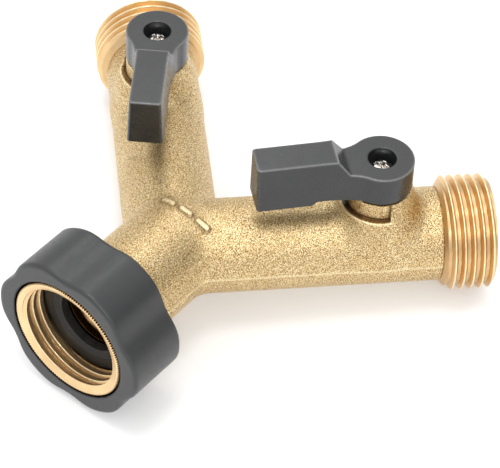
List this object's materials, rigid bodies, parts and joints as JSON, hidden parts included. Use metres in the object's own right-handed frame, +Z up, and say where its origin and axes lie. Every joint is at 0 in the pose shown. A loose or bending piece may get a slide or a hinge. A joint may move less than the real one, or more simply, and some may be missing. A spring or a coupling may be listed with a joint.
{
  "type": "hose splitter",
  "caption": "Forged brass Y fitting that feeds two hose outlets from one swivel-nut inlet, with a quarter-turn lever valve on each outlet.",
  "frame": {"origin": "middle of the bounding box at the height of the table that the splitter lies on", "axes": "+X away from the inlet, midway between the two outlets; +Y towards the left outlet; +Z up, on the side of the levers"},
  "size_m": [0.0988, 0.1212, 0.046],
  "materials": {
    "forged_brass": "sandblasted",
    "machined_brass": "turned",
    "lever_plastic": "satin",
    "grip_rubber": "satin",
    "seal_rubber": "matte",
    "white_ptfe": "smooth",
    "bright_chrome": "polished"
  },
  "bodies": {
    "splitter_body": {"body": "forged_brass", "inlet_tailpiece": "machined_brass", "tailpiece_o_ring": "seal_rubber", "seat_outer_left": "white_ptfe", "seat_retainer_left": "machined_brass", "seat_inner_left": "white_ptfe", "thrust_washer_left": "white_ptfe", "seat_outer_right": "white_ptfe", "seat_retainer_right": "machined_brass", "seat_inner_right": "white_ptfe", "thrust_washer_right": "white_ptfe"},
    "swivel": {"swivel_nut": "machined_brass", "nut_grip": "grip_rubber", "inlet_washer": "seal_rubber"},
    "valve_left": {"ball_left": "bright_chrome", "stem_left": "machined_brass", "stem_o_ring_lower_left": "seal_rubber", "stem_o_ring_upper_left": "seal_rubber", "lever_left": "lever_plastic", "lever_screw_left": "bright_chrome"},
    "valve_right": {"ball_right": "bright_chrome", "stem_right": "machined_brass", "stem_o_ring_lower_right": "seal_rubber", "stem_o_ring_upper_right": "seal_rubber", "lever_right": "lever_plastic", "lever_screw_right": "bright_chrome"}
  },
  "joints": [
    {"name": "nut_spin", "type": "hinge", "parent": "splitter_body", "child": "swivel", "pos_m": [-0.04088, 0, 0.01969], "axis": [-0.997, 0, 0.0772], "continuous": true},
    {"name": "lever_left_turn", "type": "hinge", "parent": "splitter_body", "child": "valve_left", "pos_m": [0.02359, 0.03312, 0.03475], "axis": [0.0772, 0, 0.997], "range_deg": [-79.6, 10.4]},
    {"name": "lever_right_turn", "type": "hinge", "parent": "splitter_body", "child": "valve_right", "pos_m": [0.02359, -0.03312, 0.03475], "axis": [0.0772, 0, 0.997], "range_deg": [-4.45, 85.55]}
  ]
}
